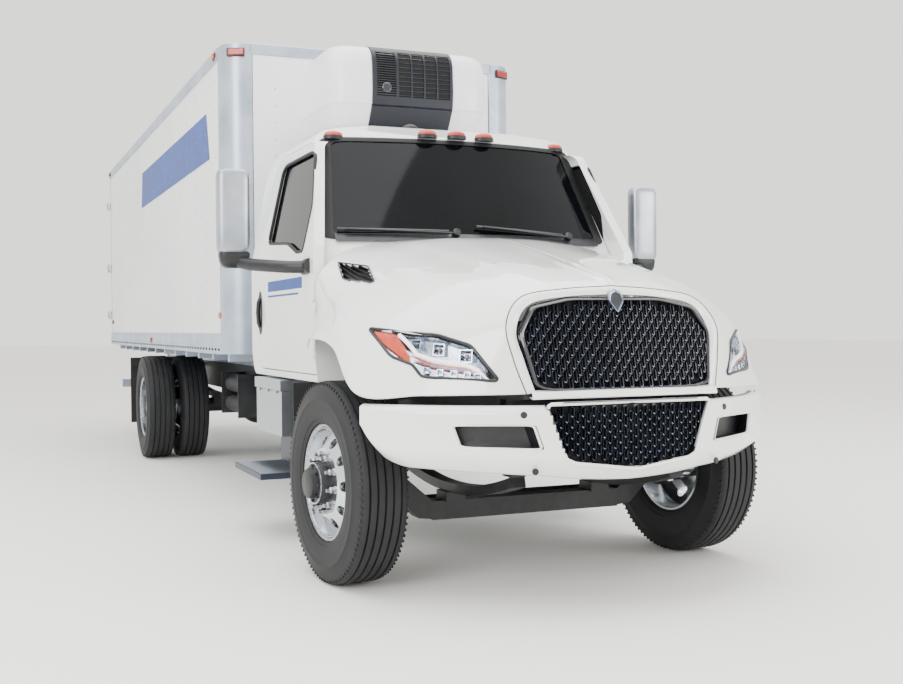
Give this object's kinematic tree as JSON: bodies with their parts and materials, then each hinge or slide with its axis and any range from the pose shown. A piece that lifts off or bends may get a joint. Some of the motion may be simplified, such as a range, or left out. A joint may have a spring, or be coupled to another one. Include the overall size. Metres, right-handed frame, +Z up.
{
  "type": "refrigerated box truck",
  "caption": "Conventional-cab truck with a steel ladder frame, tilting hood, insulated box with a nose-mounted cooling unit and swing rear doors on twin rear wheels.",
  "frame": {"origin": "middle of the footprint of the whole truck, on the ground", "axes": "+Z up, the front of the truck faces -Y, +X is the truck's left side"},
  "size_m": [2.951, 10.919, 3.33],
  "materials": {
    "chassis_black": "satin",
    "spring_steel": "satin",
    "shaft_steel": "satin",
    "engine_grey": "rough",
    "radiator_core": "satin",
    "tank_aluminium": "satin",
    "brushed_aluminium": "brushed",
    "step_black": "satin",
    "white_paint": "gloss",
    "grille_black": "gloss",
    "flap_rubber": "matt",
    "dark_glass": "gloss",
    "cab_plastic": "grained",
    "seat_fabric": "woven",
    "floor_aluminium": "mill",
    "grey_aluminium": "satin",
    "white_panel": "satin",
    "roof_panel": "satin",
    "unit_plastic": "gloss",
    "lamp_glass": "gloss",
    "mirror_plastic": "gloss",
    "polished_aluminium": "polished",
    "tyre_rubber": "matt"
  },
  "bodies": {
    "root": {"frame_rails": "chassis_black", "front_axle": "chassis_black", "leaf_springs": "spring_steel", "rear_axle": "chassis_black", "driveshaft": "shaft_steel", "engine_block": "engine_grey", "radiator": "radiator_core", "fuel_tank": "tank_aluminium", "battery_box": "brushed_aluminium", "steps": "step_black", "air_tanks": "chassis_black", "front_bumper": "white_paint", "bumper_grille": "grille_black", "mud_flaps": "flap_rubber", "cab_shell": "white_paint", "cab_glass": "dark_glass", "dashboard": "cab_plastic", "steering_wheel": "cab_plastic", "seats": "seat_fabric", "box_floor": "floor_aluminium", "box_front_wall": "grey_aluminium", "box_side_walls": "white_panel", "box_roof": "roof_panel", "rear_frame": "grey_aluminium", "cooling_unit": "unit_plastic"},
    "hood": {"hood": "white_paint", "hood_hinges": "chassis_black", "grille": "grille_black", "headlights": "lamp_glass"},
    "door_right": {"door_right": "white_paint", "door_glass_right": "dark_glass", "mirror_right": "mirror_plastic"},
    "door_left": {"door_left": "white_paint", "door_glass_left": "dark_glass", "mirror_left": "mirror_plastic"},
    "steering_right": {"knuckle_right": "chassis_black"},
    "steering_left": {"knuckle_left": "chassis_black"},
    "tie_rod": {"tie_rod": "chassis_black"},
    "front_wheel_right": {"wheel_front_right": "polished_aluminium", "tyre_front_right": "tyre_rubber"},
    "front_wheel_left": {"wheel_front_left": "polished_aluminium", "tyre_front_left": "tyre_rubber"},
    "rear_wheels_right": {"wheels_rear_right": "polished_aluminium", "tyres_rear_right": "tyre_rubber"},
    "rear_wheels_left": {"wheels_rear_left": "polished_aluminium", "tyres_rear_left": "tyre_rubber"},
    "rear_door_right": {"rear_door_right": "white_panel"},
    "rear_door_left": {"rear_door_left": "white_panel"}
  },
  "joints": [
    {"name": "hood_tilt", "type": "hinge", "parent": "root", "child": "hood", "pos_m": [0, -5.3125, 0.7], "axis": [1, 0, 0], "range_deg": [0, 60]},
    {"name": "door_right_swing", "type": "hinge", "parent": "root", "child": "door_right", "pos_m": [-1.025, -3.7575, 1.5], "axis": [0, 0, 1], "range_deg": [0, 70]},
    {"name": "door_left_swing", "type": "hinge", "parent": "root", "child": "door_left", "pos_m": [1.025, -3.7575, 1.5], "axis": [0, 0, -1], "range_deg": [0, 70]},
    {"name": "steer_right", "type": "hinge", "parent": "root", "child": "steering_right", "pos_m": [-0.88, -4.3025, 0.5], "axis": [0, 0, 1], "range_deg": [-44.5, 35.5]},
    {"name": "steer_left", "type": "hinge", "parent": "root", "child": "steering_left", "pos_m": [0.88, -4.3025, 0.5], "axis": [0, 0, 1], "range_deg": [-44.5, 35.5]},
    {"name": "tie_rod_pivot", "type": "hinge", "parent": "steering_right", "child": "tie_rod", "pos_m": [-0.89648, -4.09315, 0.38], "axis": [0, 0, 1], "range_deg": [-35.5, 44.5]},
    {"name": "front_wheel_right_spin", "type": "hinge", "parent": "steering_right", "child": "front_wheel_right", "pos_m": [-1.02754, -4.31411, 0.517], "axis": [0.9969, 0.0785, 0], "continuous": true},
    {"name": "front_wheel_left_spin", "type": "hinge", "parent": "steering_left", "child": "front_wheel_left", "pos_m": [1.02754, -4.29089, 0.517], "axis": [0.9969, 0.0785, 0], "continuous": true},
    {"name": "rear_wheels_right_spin", "type": "hinge", "parent": "root", "child": "rear_wheels_right", "pos_m": [-0.905, 2.0075, 0.517], "axis": [1, 0, 0], "continuous": true},
    {"name": "rear_wheels_left_spin", "type": "hinge", "parent": "root", "child": "rear_wheels_left", "pos_m": [0.905, 2.0075, 0.517], "axis": [1, 0, 0], "continuous": true},
    {"name": "rear_door_right_swing", "type": "hinge", "parent": "root", "child": "rear_door_right", "pos_m": [-1.145, 5.4415, 2.2], "axis": [0, 0, 1], "range_deg": [0, 265]},
    {"name": "rear_door_left_swing", "type": "hinge", "parent": "root", "child": "rear_door_left", "pos_m": [1.145, 5.4415, 2.2], "axis": [0, 0, -1], "range_deg": [0, 265]}
  ],
  "couplings": [
    {"joint": "steer_left", "follows": "steer_right", "ratio": 1},
    {"joint": "tie_rod_pivot", "follows": "steer_right", "ratio": -1}
  ]
}
